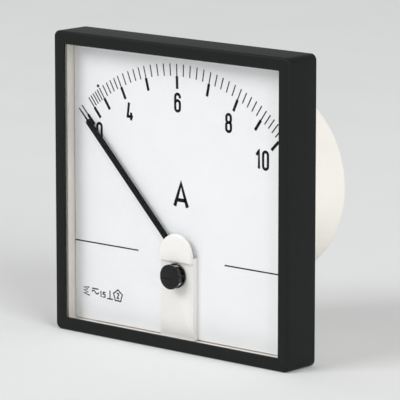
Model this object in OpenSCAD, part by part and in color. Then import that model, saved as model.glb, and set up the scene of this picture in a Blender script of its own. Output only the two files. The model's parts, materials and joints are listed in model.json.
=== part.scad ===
// Square panel ammeter: a black bezel and a glazed dial in front of the panel,
// and a moulded barrel behind it that holds a moving-iron needle movement.
//
// Axes: X to the right, +Y away from the reader and into the panel, +Z up.
// Origin: centre of the seating plane, where the bezel's back meets the panel.

/* [Bezel] */
// Side of the square front bezel
bezel_side = 96; // [94:0.5:104]
// Front face of the bezel to the panel
bezel_depth = 13; // [12.5:0.5:15]
// Width of the rim round the opening
rim_width = 4.1; // [3.6:0.1:4.8]
// Thickness of the rim's lip over the window
lip_thickness = 0.8; // [0.6:0.1:1.2]
// Thickness of the bezel's four side walls
bezel_wall = 1.4; // [1.2:0.1:1.8]
// Radius of the bezel's outer corners
bezel_corner = 2; // [1.6:0.1:3]
// Radius of the opening's corners
opening_corner = 1.8; // [1:0.1:3]
// Chamfer round the front outer edge
front_chamfer = 0.5; // [0.2:0.1:0.8]

/* [Window] */
// Thickness of the clear pane
pane_thickness = 1.8; // [1.4:0.1:2]
// Thickness of the seal between lip and pane
seal_thickness = 0.4; // [0.3:0.1:0.6]
// Overlap of the seal behind the lip
seal_setback = 0.6; // [0.4:0.1:0.8]

/* [Case] */
// Thickness of the tray's walls
tray_wall = 1.4; // [1.2:0.1:2]
// Thickness of the tray's floor
floor_thickness = 1.6; // [1.4:0.1:2]
// Outside diameter of the barrel
barrel_diameter = 63; // [60:0.5:70]
// Length of the barrel behind the panel
barrel_length = 35.8; // [33:0.2:42]
// Thickness of the barrel's wall and back
barrel_wall = 2; // [1.8:0.1:2.4]
// Rounding of the barrel's rear edge
barrel_rounding = 1.5; // [0.8:0.1:2.5]
// Height of the spindle above the barrel's lowest point
spindle_rise = 13; // [12.8:0.1:13.6]

/* [Dial] */
// Front face of the bezel to the printed face of the dial
dial_depth = 6; // [5.8:0.1:6.4]
// Thickness of the dial plate
dial_thickness = 0.8; // [0.6:0.1:1]
// Gap between the dial's edge and the tray
dial_gap = 0.4; // [0.3:0.1:0.6]
// Margin between the ends of the scale and the dial's edge
scale_margin = 2.9; // [2.5:0.1:4.5]
// Length of a numbered tick
tick_length = 7.8; // [6:0.1:9]
// Width of the inner half of a numbered tick
bold_tick_width = 0.8; // [0.5:0.05:1]
// Width of the fine ticks
fine_tick_width = 0.3; // [0.2:0.05:0.4]
// Length of a fine tick
fine_tick_length = 3.8; // [3:0.1:4.4]

/* [Hub cover] */
// Width of the cover and its rounded hood
cover_width = 13.4; // [12.8:0.1:14.4]
// Height of the strip's face above the dial
strip_relief = 2; // [1.9:0.1:2.2]
// Height of the hood's face above the dial
hood_relief = 2.9; // [2.8:0.1:3.1]
// Thickness of the cover's strip and side walls
cover_skin = 0.8; // [0.7:0.05:0.9]
// Lower edge of the hood below the pivot
hood_skirt = 1.9; // [1.5:0.1:2.2]
// Bevel round the hood
hood_bevel = 0.5; // [0.2:0.1:0.6]

/* [Zero adjuster] */
// Diameter of the knob
knob_diameter = 7.8; // [7:0.1:8.4]
// Knob axis below the pivot
knob_drop = 6.4; // [6.2:0.1:7]
// Throw of the eccentric pin
pin_throw = 1.6; // [1.4:0.1:1.8]
// Diameter of the eccentric pin
pin_diameter = 1.2; // [1:0.1:1.4]
// Running clearance of turning pieces
running_clearance = 0.05; // [0.03:0.01:0.09]

/* [Pointer] */
// Angle of the pointer at rest, clockwise from straight up
rest_angle = -44.7; // [-48:0.1:-40]
// Width of the pointer's blade
blade_width = 2.2; // [1.6:0.1:2.6]
// Length of the needle in front of the blade
needle_length = 5.2; // [3:0.1:8]
// Gap between the needle's tip and the outer ends of the ticks
tip_gap = 0.7; // [0.4:0.1:2.5]
// Thickness of the pointer's sheet
pointer_thickness = 0.2; // [0.15:0.05:0.35]

/* [Movement] */
// Diameter of the spindle
spindle_diameter = 1.5; // [1.2:0.1:1.8]
// Diameter of the jewel screws
jewel_diameter = 2.2; // [2:0.1:2.6]
// Outside diameter of the coil bobbin's flanges
bobbin_diameter = 20.4; // [19.5:0.1:20.6]
// Room behind the coil for the rear bridge, the leads and the studs' heads
coil_room = 8.7; // [8.6:0.1:12]
// Bore of the coil bobbin
bobbin_bore = 10.4; // [10.2:0.1:11]
// Diameter of the copper wire
wire_diameter = 1.8; // [1.5:0.1:1.9]
// Distance of each bridge pillar from the spindle
pillar_offset = 14; // [13.8:0.1:15]
// Thickness of the front and rear bridges
bridge_thickness = 1.2; // [1:0.1:1.4]
// Radius swept by the damping vane
vane_radius = 15.5; // [14:0.1:16]

/* [Terminals] */
// Distance between the two terminal studs
terminal_pitch = 26; // [22:0.5:28]
// Height of the terminals above the barrel's axis
terminal_rise = 8; // [4:0.5:10]
// Diameter of the terminal studs
stud_diameter = 5; // [4:0.5:6]
// Length of a stud behind the barrel
stud_reach = 14.2; // [13:0.2:18]

/* [Clamp slots] */
// Width of the slots that take a panel clamp's hook
hook_slot_width = 10.3; // [8:0.1:12]
// Length of a hook slot along the barrel
hook_slot_length = 3; // [2:0.1:4]
// Depth of a hook slot in the barrel's wall
hook_slot_depth = 1; // [0.8:0.05:1.1]
// Back of the panel's seating plane to a hook slot
hook_slot_offset = 18; // [14:0.5:22]

/* [Hidden] */
$fn = 64;
small_fn = 32;
overlap = 0.1;

// Each numbered mark of the scale: its value and its angle from straight up.
marks = [[0, -44.4], [2, -40.5], [3, -35], [4, -26.4], [5, -15], [6, -1.7],
    [7, 11.8], [8, 24.2], [9, 35.2], [10, 44.6]];
fine_ticks_between = 4;
first_divided_mark = 1;
printing_thickness = 0.05;
dot_diameter = 0.7;
dot_value_mark = 2;
dot_gap = 0.9;
base_line_width = 0.35;
base_line_drop = 1.35;
base_line_start = 17.8;

front_y = -bezel_depth;
opening_side = bezel_side - 2 * rim_width;
bezel_inside = bezel_side - 2 * bezel_wall;
glazing_fit = 0.2;
tray_fit = 0.1;
tray_side = bezel_inside - 2 * tray_fit;
tray_inside = tray_side - 2 * tray_wall;
tray_corner = 1.2;
pane_front = front_y + lip_thickness + seal_thickness;
tray_front = pane_front + pane_thickness;
pane_side = bezel_inside - 2 * glazing_fit;
snap_radius = 0.5;
snap_length = 24;
snap_y = -4;

dial_face = front_y + dial_depth;
dial_back = dial_face + dial_thickness;
dial_side = tray_inside - 2 * dial_gap;
dial_corner = 1;
pivot_z = spindle_rise - barrel_diameter / 2;
scale_radius = (dial_side / 2 - scale_margin) / sin(marks[len(marks) - 1][1]);
hub_hole_radius = cover_width / 2 - cover_skin - 0.9;
lever_slot_half = 4;
corner_post_side = 8;
dial_screw_radius = 1;
dial_screw_head_radius = 1.8;
dial_screw_head = 0.7;
dial_boss_radius = 2.2;
cover_peg_x = cover_width / 2 - cover_skin / 2 - 1.3;
cover_peg_radius = 1;
cover_peg_length = 3;
small_fit = 0.1;

strip_front = dial_face - strip_relief;
strip_back = strip_front + cover_skin;
hood_front = dial_face - hood_relief;
hood_skin = strip_front - hood_front;
strip_top = pivot_z - 0.4;
strip_foot = -tray_inside / 2 + small_fit;
side_gap = 0.35;

knob_z = pivot_z - knob_drop;
knob_face = front_y + 0.15;
knob_radius = knob_diameter / 2;
knob_edge = 0.3;
knob_neck_radius = knob_radius - 0.4;
knob_spigot_radius = knob_neck_radius - 0.9;
knob_slot_width = 1.1;
knob_slot_depth = 0.35;
collar_front = tray_front + running_clearance;
collar_back = strip_front - 0.3;
pin_radius = pin_diameter / 2;

lever_front = dial_face - 0.4;
lever_thickness = 0.5;
lever_back = lever_front + lever_thickness;
jewel_radius = jewel_diameter / 2;
jewel_head_radius = jewel_radius + 0.6;
jewel_head = 0.4;
lever_ring_radius = jewel_radius + 1.3;
fork_reach = knob_drop + pin_throw + 1.4;
fork_half_width = pin_radius + running_clearance + 0.9;
lever_slot_end = pivot_z - fork_reach - 1;
dial_screw_edge = 3.2;
dial_foot_room = lever_slot_end + dial_side / 2 - dial_screw_edge;
dial_screw_heights = [lever_slot_end - 0.4 * dial_foot_room, lever_slot_end - dial_foot_room];
cover_peg_z = lever_slot_end - 0.7 * dial_foot_room;
spring_stud_angle = 76;
spring_stud_inner = 3.75;
spring_stud_side = 0.8;

bridge_screw_head = 0.9;
front_bridge_front = dial_back + bridge_screw_head + side_gap;
front_bridge_back = front_bridge_front + bridge_thickness;
lock_nut_height = 0.8;
lock_nut_radius = jewel_radius + 1;
front_jewel_end = front_bridge_back + lock_nut_height + 0.1;
pivot_cup_radius = 0.6;
pivot_cup_depth = 0.45;
pivot_tip_radius = 0.12;
pivot_cone = 0.7;
spindle_radius = spindle_diameter / 2;
spindle_front = front_jewel_end - 0.3;
collet_front = front_jewel_end + side_gap;
collet_length = 0.8;
collet_radius = spindle_radius + 0.7;
spring_front = collet_front + 0.15;
spring_height = 0.4;
spring_strip = 0.15;
spring_turns = 3.5;
spring_back = spring_front + spring_height;

pointer_arm_front = spring_back + side_gap;
pointer_front = hood_front + hood_skin + side_gap;
tip_radius = scale_radius - tip_gap;
blade_radius = tip_radius - needle_length;
hub_front = pointer_arm_front + pointer_thickness;
hub_length = 1;
hub_radius = spindle_radius + 1.1;
crank_radius = hub_hole_radius - 0.8;
crank_width = 1.8;
balance_rod_radius = 0.35;
balance_y = hub_front + hub_length / 2;
side_reach = 5.8;
weight_length = 1.6;
weight_radius = 1;
tail_weight_ring = 6.9;
tail_weight_radius = 1.8;
tail_weight_front = spring_back + side_gap;
tail_weight_length = 2.7;
tail_rod_depth = 0.8;

vane_front = hub_front + hub_length + 0.6;
vane_thickness = 0.4;
vane_half_angle = 15;
vane_inner = 8.5;
vane_collar_radius = spindle_radius + 0.9;
magnet_gap = 0.6;
magnet_inner = 10.8;
magnet_outer = vane_radius + 3;
magnet_yoke_inner = vane_radius + 0.8;
magnet_width = 8;
magnet_limb = 1.1;
base_front = vane_front + vane_thickness + magnet_gap + magnet_limb;
base_thickness = 1.6;
base_back = base_front + base_thickness;
barrel_radius = barrel_diameter / 2;
barrel_inner = barrel_radius - barrel_wall;
back_inside = barrel_length - barrel_wall;
base_radius = barrel_inner - 0.3;
base_post_radius = 3;
base_post_ring = base_radius - 2.6;
base_post_angles = [0, 125, 235];
base_screw_radius = 1.25;
base_screw_head_radius = 2.4;
base_screw_head = 1.2;
base_screw_length = 6;

bobbin_front = base_back;
bobbin_length = back_inside - coil_room - bobbin_front;
bobbin_back = bobbin_front + bobbin_length;
bobbin_flange = 1;
bobbin_tube = 0.9;
bobbin_bore_radius = bobbin_bore / 2;
winding_inner = bobbin_bore_radius + bobbin_tube;
winding_turns = 10;
winding_groove = 0.35;
winding_radius = bobbin_diameter / 2 - 0.5;
iron_sheet = 0.45;
iron_margin = 3;
fixed_iron_outer = bobbin_bore_radius;
iron_gap = 0.5;
moving_iron_outer = fixed_iron_outer - iron_sheet - iron_gap;
fixed_iron_span = 110;
moving_iron_span = 50;

pillar_radius = 2;
pillar_z = -2.8;
rear_bridge_front = bobbin_back + 1.8;
rear_bridge_back = rear_bridge_front + bridge_thickness;
bridge_bar = 4.6;
bridge_boss_radius = jewel_radius + 1.7;
bridge_screw_radius = 0.9;
bridge_screw_head_radius = 1.7;
rear_jewel_front = bobbin_back + 0.7;
rear_jewel_end = rear_bridge_back + lock_nut_height + 1;
spindle_back = rear_jewel_front + 0.3;

stop_ring = 7.4;
stop_wire_radius = 0.4;
stop_sleeve_radius = 0.8;
stop_sleeve_length = 1.6;
stop_margin = 1;
swing_below_zero = 4.8;
swing_above_zero = 94;
stop_touch_angle = acos((pow(stop_ring, 2) + pow(tail_weight_ring, 2)
    - pow(tail_weight_radius + stop_sleeve_radius, 2)) / (2 * stop_ring * tail_weight_ring));
low_stop_angle = rest_angle + 180 - swing_below_zero - stop_touch_angle - stop_margin;
high_stop_angle = rest_angle + 180 + swing_above_zero + stop_touch_angle + stop_margin;

stud_radius = stud_diameter / 2;
stud_head = 2.5;
stud_head_radius = stud_radius * 1.75;
nut_height = 3.2;
nut_radius = stud_radius * 1.8;
washer_thickness = 0.8;
washer_radius = stud_radius * 2;
terminal_boss_radius = washer_radius + 0.8;
terminal_boss_height = 0.8;
barrier_width = 1.6;
barrier_height = 4;
barrier_length = 22;
terminal_face = barrel_length + terminal_boss_height;
lead_radius = wire_diameter / 2;
lead_offset = 3.5;
lead_rise = winding_radius - winding_groove - lead_radius - 0.8;
terminals = [-1, 1];

stud_core_radius = stud_radius * 0.88;
nut_fronts = [terminal_face + washer_thickness,
    terminal_face + 2 * washer_thickness + nut_height];
slot_width = 0.8;
slot_depth = 0.7;

// ---------- helpers ----------

// A flat piece: a 2D shape in X and Z, from y_front back by its thickness.
module plate(y_front, thickness)
    translate([0, y_front + thickness, 0])
        rotate([90, 0, 0])
            linear_extrude(thickness)
                children();

// A round bar along Y from y_front, centred on the origin of X and Z.
module rod(y_front, length, radius, sides = small_fn)
    translate([0, y_front, 0])
        rotate([-90, 0, 0])
            cylinder(h = length, r = radius, $fn = sides);

// A cone along Y, from radius r1 in front to r2 behind.
module cone(y_front, length, r1, r2)
    translate([0, y_front, 0])
        rotate([-90, 0, 0])
            cylinder(h = length, r1 = r1, r2 = r2, $fn = small_fn);

// Revolves a profile of (radius, y) about the Y axis.
module turned(angle = 360)
    rotate([-90, 0, 0])
        rotate_extrude(angle = angle)
            children();

// Turns clockwise from straight up, as seen from the front.
module clock(angle)
    rotate([0, angle, 0])
        children();

module at_pivot()
    translate([0, 0, pivot_z])
        children();

module at_knob()
    translate([0, 0, knob_z])
        children();

function clock_point(radius, angle) = [radius * sin(angle), radius * cos(angle)];

module rounded_square(side, radius) {
    square([side - 2 * radius, side], center = true);
    square([side, side - 2 * radius], center = true);
    for (x = [-1, 1], z = [-1, 1])
        translate([x, z] * (side / 2 - radius))
            circle(radius, $fn = small_fn);
}

// A slotted screw head with its shank, driven from the front.
module slotted_screw(y_front, head_radius, head, shank_radius, shank) {
    difference() {
        rod(y_front, head, head_radius);
        translate([-head_radius - overlap, y_front - overlap, -slot_width / 2])
            cube([2 * head_radius + 2 * overlap, head * 0.5 + overlap, slot_width]);
    }
    rod(y_front + head, shank, shank_radius);
}

module hex_nut(y_front, height, radius, bore)
    difference() {
        rod(y_front, height, radius, 6);
        rod(y_front - overlap, height + 2 * overlap, bore);
    }

module ring(y_front, height, radius, bore)
    difference() {
        rod(y_front, height, radius);
        rod(y_front - overlap, height + 2 * overlap, bore);
    }

// ---------- front of the meter ----------

// Moulded square frame: lip, four walls, and ridges that snap into the tray.
module bezel_frame() {
    color("#20211f") {
        difference() {
            plate(front_y, bezel_depth)
                rounded_square(bezel_side, bezel_corner);
            plate(front_y - overlap, lip_thickness + 2 * overlap)
                rounded_square(opening_side, opening_corner);
            plate(front_y + lip_thickness, bezel_depth)
                rounded_square(bezel_inside, tray_corner);
            for (side = [0:90:270])
                clock(side)
                    translate([0, front_y, bezel_side / 2])
                        rotate([45, 0, 0])
                            cube([bezel_side + 2, front_chamfer * sqrt(2),
                                front_chamfer * sqrt(2)], center = true);
        }
        for (side = [0:90:270])
            clock(side)
                translate([0, snap_y, bezel_inside / 2])
                    snap_ridge(snap_radius - small_fit, snap_length - 2 * small_fit);
    }
}

module snap_ridge(radius, length)
    rotate([0, 90, 0])
        cylinder(h = length, r = radius, center = true, $fn = small_fn);

module window_pane() {
    color("#dfe8ea", 0.3)
        difference() {
            plate(pane_front, pane_thickness)
                rounded_square(pane_side, tray_corner);
            at_knob()
                rod(pane_front - overlap, pane_thickness + 2 * overlap,
                    knob_neck_radius + running_clearance);
        }
}

module window_seal() {
    color("#161616")
        plate(front_y + lip_thickness, seal_thickness)
            difference() {
                rounded_square(pane_side, tray_corner);
                rounded_square(opening_side + 2 * seal_setback, opening_corner);
            }
}

// ---------- case ----------

// One moulding: square tray, round barrel, posts and the slots for panel clamps.
module meter_case() {
    color("#efece4")
        difference() {
            union() {
                tray();
                barrel();
                for (x = terminals)
                    translate([x * terminal_pitch / 2, 0, terminal_rise])
                        rod(barrel_length - overlap, terminal_boss_height + overlap,
                            terminal_boss_radius);
                translate([-barrier_width / 2, barrel_length - overlap,
                        terminal_rise - barrier_length / 2])
                    cube([barrier_width, barrier_height + overlap, barrier_length]);
            }
            for (x = terminals)
                translate([x * terminal_pitch / 2, 0, terminal_rise])
                    rod(back_inside - 1, barrel_wall + terminal_boss_height + 2,
                        stud_radius);
            for (side = [0:90:270])
                clock(side)
                    translate([0, snap_y, tray_side / 2])
                        snap_ridge(snap_radius, snap_length);
            for (side = [0, 180])
                clock(side)
                    translate([-hook_slot_width / 2, hook_slot_offset,
                            barrel_radius - hook_slot_depth])
                        cube([hook_slot_width, hook_slot_length, hook_slot_depth + 1]);
        }
}

module tray() {
    difference() {
        plate(tray_front, -tray_front)
            rounded_square(tray_side, tray_corner);
        plate(tray_front - overlap, -tray_front - floor_thickness + overlap)
            rounded_square(tray_inside, dial_corner);
        rod(-floor_thickness - overlap, floor_thickness + 2 * overlap, barrel_inner, $fn);
    }
    for (x = [-1, 1], z = [-1, 1])
        translate([x, 0, z] * (tray_inside - corner_post_side) / 2)
            plate(dial_back, -dial_back - floor_thickness + overlap)
                square(corner_post_side + overlap, center = true);
    for (z = dial_screw_heights)
        translate([0, 0, z])
            ring(dial_back, -dial_back - floor_thickness + overlap, dial_boss_radius,
                dial_screw_radius);
    for (x = [-1, 1])
        translate([x * cover_peg_x, 0, cover_peg_z])
            ring(dial_back, -dial_back - floor_thickness + overlap, dial_boss_radius,
                cover_peg_radius);
}

module barrel() {
    difference() {
        turned()
            difference() {
                union() {
                    square([barrel_radius, barrel_length - barrel_rounding]);
                    square([barrel_radius - barrel_rounding, barrel_length]);
                    translate([barrel_radius - barrel_rounding,
                            barrel_length - barrel_rounding])
                        circle(barrel_rounding, $fn = small_fn);
                }
                translate([-barrel_radius, -overlap])
                    square([barrel_radius + barrel_inner, back_inside + overlap]);
                translate([-barrel_radius, -overlap])
                    square([barrel_radius, barrel_length + 2 * overlap]);
            }
    }
    for (angle = base_post_angles)
        clock(angle)
            base_post();
}

// Post on the barrel's wall that carries the movement base.
module base_post()
    difference() {
        intersection() {
            union() {
                translate([0, 0, base_post_ring])
                    rod(base_back, back_inside - base_back + overlap, base_post_radius);
                translate([-base_post_radius, base_back, base_post_ring])
                    cube([2 * base_post_radius, back_inside - base_back + overlap,
                        base_post_radius * 2]);
            }
            rod(base_back, back_inside - base_back + overlap, barrel_inner + overlap, $fn);
        }
        translate([0, 0, base_post_ring])
            rod(base_back - overlap, base_screw_length + overlap, base_screw_radius);
    }

// ---------- dial ----------

module dial_plate() {
    color("#f1f2f0")
        plate(dial_face, dial_thickness)
            difference() {
                rounded_square(dial_side, dial_corner);
                translate([0, pivot_z])
                    circle(hub_hole_radius, $fn = $fn);
                translate([-lever_slot_half, lever_slot_end])
                    square([2 * lever_slot_half, pivot_z - lever_slot_end]);
                for (z = dial_screw_heights)
                    translate([0, z])
                        circle(dial_screw_radius + small_fit, $fn = small_fn);
                for (x = [-1, 1])
                    translate([x * cover_peg_x, cover_peg_z])
                        circle(cover_peg_radius + small_fit, $fn = small_fn);
            }
}

// Printed scale: bold and fine ticks, the dot and the two base lines.
module dial_scale() {
    color("#141414")
        plate(dial_face - printing_thickness, printing_thickness) {
            translate([0, pivot_z]) {
                for (mark = marks)
                    numbered_tick(mark[1]);
                for (i = [first_divided_mark : len(marks) - 2], k = [1 : fine_ticks_between])
                    tick(marks[i][1] + (marks[i + 1][1] - marks[i][1]) * k
                        / (fine_ticks_between + 1), fine_tick_length, fine_tick_width);
                translate(clock_point(scale_radius + dot_gap, marks[dot_value_mark][1]))
                    circle(d = dot_diameter, $fn = small_fn);
            }
            for (side = [0, 1])
                mirror([side, 0])
                    translate([base_line_start, pivot_z - base_line_drop])
                        square([dial_side / 2 - base_line_start, base_line_width]);
        }
}

module tick(angle, length, width)
    rotate(-angle)
        translate([-width / 2, scale_radius - length])
            square([width, length]);

// The outer half is fine and the inner half bold.
module numbered_tick(angle) {
    tick(angle, tick_length, fine_tick_width);
    rotate(-angle)
        translate([-bold_tick_width / 2, scale_radius - tick_length])
            square([bold_tick_width, tick_length / 2]);
}

module dial_screws() {
    color("#c9c9c4")
        for (z = dial_screw_heights)
            translate([0, 0, z])
                slotted_screw(dial_face - dial_screw_head, dial_screw_head_radius,
                    dial_screw_head, dial_screw_radius, 4);
}

// ---------- hub cover and zero adjuster ----------

// One moulding: rounded hood over the hub, strip down to the tray, two pegs.
module hub_cover() {
    color("#f6f4ee") {
        hood();
        difference() {
            plate(strip_front, strip_relief)
                strip_outline(cover_width / 2);
            plate(strip_back, strip_relief + overlap)
                strip_outline(cover_width / 2 - cover_skin, overlap);
            at_knob()
                rod(strip_front - overlap, cover_skin + 2 * overlap,
                    pin_throw + pin_radius + 0.4);
        }
        for (x = [-1, 1])
            translate([x * cover_peg_x, 0, cover_peg_z])
                rod(strip_back - overlap, dial_back - strip_back + cover_peg_length,
                    cover_peg_radius);
    }
}

module strip_outline(half_width, past_end = 0)
    translate([-half_width, strip_foot + (past_end > 0 ? cover_skin : 0)])
        square([2 * half_width, strip_top - strip_foot
            + (past_end > 0 ? past_end - cover_skin : 0)]);

// Half-round hood with a bevelled rim and a straight skirt over the strip.
module hood() {
    hood_radius = cover_width / 2;
    at_pivot() {
        difference() {
            union() {
                cone(hood_front, hood_bevel, hood_radius - hood_bevel, hood_radius);
                rod(hood_front + hood_bevel, hood_skin - hood_bevel, hood_radius, $fn);
            }
            translate([-hood_radius - 1, hood_front - 1, -2 * hood_radius])
                cube([2 * hood_radius + 2, hood_skin + 2, 2 * hood_radius]);
        }
        difference() {
            plate(hood_front, hood_skin)
                translate([-hood_radius, -hood_skirt])
                    square([2 * hood_radius, hood_skirt]);
            for (side = [-1, 1])
                translate([side * hood_radius, hood_front, -hood_skirt / 2])
                    rotate([0, 0, 45])
                        cube([hood_bevel * sqrt(2), hood_bevel * sqrt(2),
                            hood_skirt + 1], center = true);
        }
    }
}

// One moulding: slotted knob, neck in the pane, and the eccentric pin.
module zero_adjuster() {
    color("#101110")
        at_knob() {
            difference() {
                union() {
                    cone(knob_face, knob_edge, knob_radius - knob_edge, knob_radius);
                    rod(knob_face + knob_edge,
                        pane_front - running_clearance - knob_face - knob_edge,
                        knob_radius, $fn);
                }
                translate([-knob_radius - 1, knob_face - 1, -knob_slot_width / 2])
                    cube([2 * knob_radius + 2, knob_slot_depth + 1, knob_slot_width]);
            }
            rod(pane_front - running_clearance - overlap,
                collar_front - pane_front + running_clearance + overlap,
                knob_neck_radius, $fn);
            rod(collar_front - overlap, collar_back - collar_front + overlap,
                knob_spigot_radius);
            translate([0, 0, -pin_throw])
                rod(collar_back - overlap, lever_back - collar_back + overlap, pin_radius);
        }
}

module adjuster_collar() {
    color("#171817")
        at_knob()
            ring(collar_front, collar_back - collar_front, knob_radius, knob_spigot_radius);
}

// Forked lever on the front jewel screw; it carries the hairspring's stud.
module zero_lever() {
    color("#c9a75a")
        at_pivot() {
            plate(lever_front, lever_thickness)
                difference() {
                    union() {
                        circle(lever_ring_radius, $fn = small_fn);
                        translate([-fork_half_width, -fork_reach])
                            square([2 * fork_half_width, fork_reach]);
                        rotate(-spring_stud_angle)
                            translate([-spring_stud_side / 2, 0])
                                square([spring_stud_side,
                                    spring_stud_inner + spring_stud_side]);
                    }
                    circle(jewel_radius + running_clearance, $fn = small_fn);
                    translate([-pin_radius - running_clearance, -fork_reach - overlap])
                        square([2 * (pin_radius + running_clearance),
                            fork_reach - knob_drop + pin_radius + overlap]);
                }
            clock(spring_stud_angle)
                translate([-spring_stud_side / 2, lever_front, spring_stud_inner])
                    cube([spring_stud_side, spring_back - lever_front, spring_stud_side]);
        }
}

// ---------- bearings and bridges ----------

// Slotted screw with a conical cup in its end, where the pivot runs.
module jewel_screw(end, length) {
    difference() {
        rod(end - length, length, jewel_radius);
        cone(end - pivot_cup_depth, pivot_cup_depth + overlap, pivot_tip_radius,
            pivot_cup_radius);
    }
}

module front_jewel_screw() {
    color("#c8a95c")
        at_pivot() {
            head_front = lever_front - jewel_head - running_clearance;
            slotted_screw(head_front, jewel_head_radius, jewel_head, jewel_radius, overlap);
            jewel_screw(front_jewel_end, front_jewel_end - head_front - jewel_head);
        }
}

module rear_jewel_screw() {
    color("#c8a95c")
        at_pivot()
            difference() {
                rod(rear_jewel_front, rear_jewel_end - rear_jewel_front, jewel_radius);
                cone(rear_jewel_front - overlap, pivot_cup_depth + overlap,
                    pivot_cup_radius, pivot_tip_radius);
                translate([-jewel_radius - overlap, rear_jewel_end - slot_depth,
                        -slot_width / 2])
                    cube([2 * jewel_radius + 2 * overlap, slot_depth + 1, slot_width]);
            }
}

module jewel_lock_nuts() {
    color("#b89a52")
        at_pivot() {
            hex_nut(front_bridge_back, lock_nut_height, lock_nut_radius, jewel_radius);
            hex_nut(rear_bridge_back, lock_nut_height, lock_nut_radius, jewel_radius);
        }
}

// Bar across the movement with a boss for the jewel screw.
module bridge(y_front) {
    at_pivot()
        plate(y_front, bridge_thickness)
            difference() {
                union() {
                    translate([0, pillar_z])
                        square([2 * pillar_offset, bridge_bar], center = true);
                    for (x = [-1, 1])
                        translate([x * pillar_offset, pillar_z])
                            circle(bridge_bar / 2, $fn = small_fn);
                    circle(bridge_boss_radius, $fn = small_fn);
                }
                circle(jewel_radius, $fn = small_fn);
                for (x = [-1, 1])
                    translate([x * pillar_offset, pillar_z])
                        circle(bridge_screw_radius, $fn = small_fn);
            }
}

module front_bridge() {
    color("#d6b56a")
        bridge(front_bridge_front);
}

module rear_bridge() {
    color("#d6b56a")
        bridge(rear_bridge_front);
}

module bridge_pillars() {
    color("#b9b9b4")
        at_pivot()
            for (x = [-1, 1])
                translate([x * pillar_offset, 0, pillar_z]) {
                    ring(front_bridge_back, base_front - front_bridge_back,
                        pillar_radius, bridge_screw_radius);
                    ring(base_back, rear_bridge_front - base_back, pillar_radius,
                        bridge_screw_radius);
                }
}

module bridge_screws() {
    screw_reach = 4;
    color("#c9c9c4")
        at_pivot()
            for (x = [-1, 1])
                translate([x * pillar_offset, 0, pillar_z]) {
                    slotted_screw(front_bridge_front - bridge_screw_head,
                        bridge_screw_head_radius, bridge_screw_head, bridge_screw_radius,
                        bridge_thickness + screw_reach);
                    translate([0, 2 * rear_bridge_back, 0])
                        mirror([0, 1, 0])
                            slotted_screw(rear_bridge_back - bridge_screw_head,
                                bridge_screw_head_radius, bridge_screw_head,
                                bridge_screw_radius, bridge_thickness + screw_reach);
                }
}

// ---------- moving system ----------

module spindle() {
    color("#9a9da0")
        at_pivot() {
            cone(spindle_front, pivot_cone, pivot_tip_radius, spindle_radius);
            rod(spindle_front + pivot_cone, spindle_back - spindle_front - 2 * pivot_cone,
                spindle_radius);
            cone(spindle_back - pivot_cone, pivot_cone, spindle_radius, pivot_tip_radius);
        }
}

module spring_collet() {
    color("#c8a95c")
        at_pivot()
            ring(collet_front, collet_length, collet_radius, spindle_radius);
}

// Flat spiral spring from the collet out to the lever's stud.
module hairspring() {
    steps = 84;
    spring_inner = collet_radius;
    function spiral_point(i, side) = let (
            t = i / steps,
            angle = spring_stud_angle - 360 * spring_turns * (1 - t),
            radius = spring_inner + (spring_stud_inner - spring_strip - spring_inner) * t
        ) clock_point(radius + side * spring_strip, angle);
    color("#b87b45")
        at_pivot()
            plate(spring_front, spring_height)
                polygon(concat([for (i = [0 : steps]) spiral_point(i, 0)],
                    [for (i = [steps : -1 : 0]) spiral_point(i, 1)]));
}

// Cranked sheet pointer: ring, arm, riser through the dial, blade and needle.
module pointer() {
    needle_width = 0.55;
    color("#262826")
        at_pivot()
            clock(rest_angle) {
                plate(pointer_arm_front, pointer_thickness)
                    difference() {
                        union() {
                            circle(hub_radius, $fn = small_fn);
                            translate([-crank_width / 2, 0])
                                square([crank_width, crank_radius]);
                        }
                        circle(spindle_radius, $fn = small_fn);
                    }
                translate([-crank_width / 2, pointer_front, crank_radius - pointer_thickness])
                    cube([crank_width, pointer_arm_front + pointer_thickness
                        - pointer_front, pointer_thickness]);
                plate(pointer_front, pointer_thickness)
                    polygon([[-crank_width / 2, crank_radius - pointer_thickness],
                        [crank_width / 2, crank_radius - pointer_thickness],
                        [blade_width / 2, crank_radius + 1.5],
                        [blade_width / 2, blade_radius],
                        [needle_width / 2, blade_radius + 0.4],
                        [needle_width / 4, tip_radius],
                        [-needle_width / 4, tip_radius],
                        [-needle_width / 2, blade_radius + 0.4],
                        [-blade_width / 2, blade_radius],
                        [-blade_width / 2, crank_radius + 1.5]]);
            }
}

// Hub with the balance cross: a long tail and two short side rods.
module pointer_hub() {
    color("#b5b7b8")
        at_pivot()
            clock(rest_angle) {
                ring(hub_front, hub_length, hub_radius, spindle_radius);
                balance_rod(180, tail_weight_ring - tail_weight_radius + tail_rod_depth);
                balance_rod(90, side_reach);
                balance_rod(-90, side_reach);
            }
}

module balance_rod(angle, reach)
    clock(angle)
        translate([0, balance_y, spindle_radius + 0.3])
            cylinder(h = reach - spindle_radius - 0.3, r = balance_rod_radius,
                $fn = small_fn);

module balance_weights() {
    color("#a8853f")
        at_pivot()
            clock(rest_angle) {
                clock(180)
                    tail_weight();
                for (angle = [-90, 90])
                    clock(angle)
                        side_weight();
            }
}

// Drum on the end of the tail rod, opposite the pointer.
module tail_weight()
    difference() {
        translate([0, 0, tail_weight_ring])
            rod(tail_weight_front, tail_weight_length, tail_weight_radius);
        translate([0, balance_y, 0])
            cylinder(h = tail_weight_ring - tail_weight_radius + tail_rod_depth,
                r = balance_rod_radius, $fn = small_fn);
    }

module side_weight()
    translate([0, balance_y, side_reach - 0.5 - weight_length])
        difference() {
            cylinder(h = weight_length, r = weight_radius, $fn = small_fn);
            translate([0, 0, -overlap])
                cylinder(h = weight_length + 2 * overlap, r = balance_rod_radius,
                    $fn = small_fn);
        }

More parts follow.
